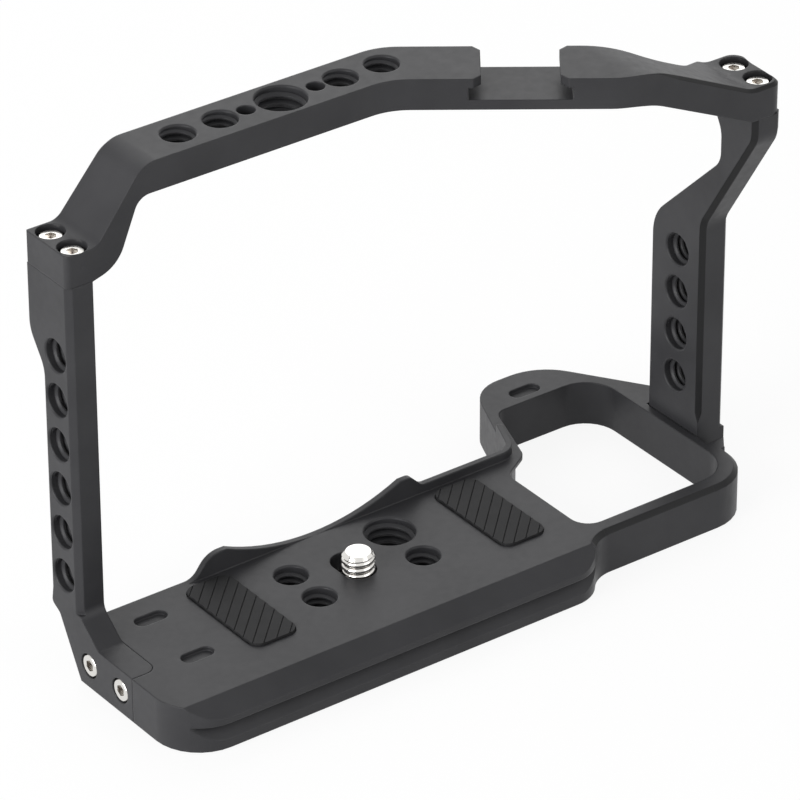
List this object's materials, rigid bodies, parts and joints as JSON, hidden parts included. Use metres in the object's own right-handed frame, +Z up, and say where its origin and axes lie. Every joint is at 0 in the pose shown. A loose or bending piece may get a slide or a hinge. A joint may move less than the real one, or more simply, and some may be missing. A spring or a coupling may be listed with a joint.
{
  "type": "camera cage",
  "caption": "Open metal frame round a camera: grooved base plate with a battery door ring and front lip, drilled side uprights, bent top bar with accessory shoe, camera screw in a slot.",
  "frame": {"origin": "centre of the overall box in plan, on the underside of the base plate", "axes": "+X to the grip side as seen from behind the camera, +Y towards the lens, +Z up"},
  "size_m": [0.1392, 0.061, 0.1004],
  "materials": {
    "black_aluminium": "black anodised, bead blasted",
    "steel": "bright stainless",
    "rubber": "ribbed"
  },
  "bodies": {
    "frame": {"base_plate": "black_aluminium", "left_upright": "black_aluminium", "right_upright": "black_aluminium", "top_bar": "black_aluminium", "left_top_screw_front": "steel", "left_top_screw_rear": "steel", "right_top_screw_front": "steel", "right_top_screw_rear": "steel", "left_foot_screw_front": "steel", "left_foot_screw_rear": "steel", "right_foot_screw_front": "steel", "right_foot_screw_rear": "steel", "left_pad": "rubber", "right_pad": "rubber"},
    "screw_carrier": {"screw_washer": "steel"},
    "camera_screw": {"camera_screw": "steel"}
  },
  "joints": [
    {"name": "screw_slide", "type": "slide", "parent": "frame", "child": "screw_carrier", "axis": [0, 1, 0], "range_m": [0, 0.0031]},
    {"name": "screw_turn", "type": "hinge", "parent": "screw_carrier", "child": "camera_screw", "pos_m": [-0.01595, -0.0082, 0.005], "axis": [0, 0, 1], "continuous": true}
  ]
}
